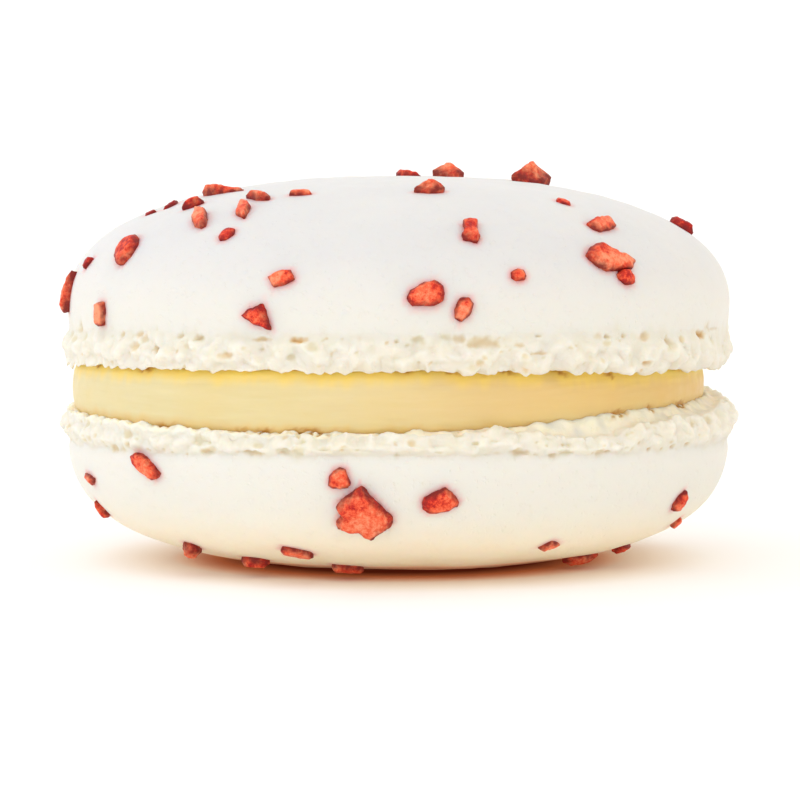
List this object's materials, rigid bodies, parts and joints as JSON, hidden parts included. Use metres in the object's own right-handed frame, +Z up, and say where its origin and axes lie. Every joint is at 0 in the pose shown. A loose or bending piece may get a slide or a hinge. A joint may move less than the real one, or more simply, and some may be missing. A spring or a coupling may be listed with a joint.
{
  "type": "french macaron",
  "caption": "Round sandwich biscuit of smooth domed meringue shells with ruffled feet round a disc of cream, its domes dotted with crumbs of dried red berry.",
  "frame": {"origin": "middle of the small flat spot under the lower shell, at table height", "axes": "+Z up through both shells, -Y towards the side seen in the picture, +X to the right of that view"},
  "size_m": [0.0447, 0.0449, 0.0264],
  "materials": {
    "meringue": "matte, smooth skin over crumbly feet",
    "cream": "satin, dense cream",
    "berry": "satin, dried fruit chips"
  },
  "bodies": {
    "root": {"lower_shell": "meringue", "cream_filling": "cream", "upper_shell": "meringue"}
  },
  "joints": []
}
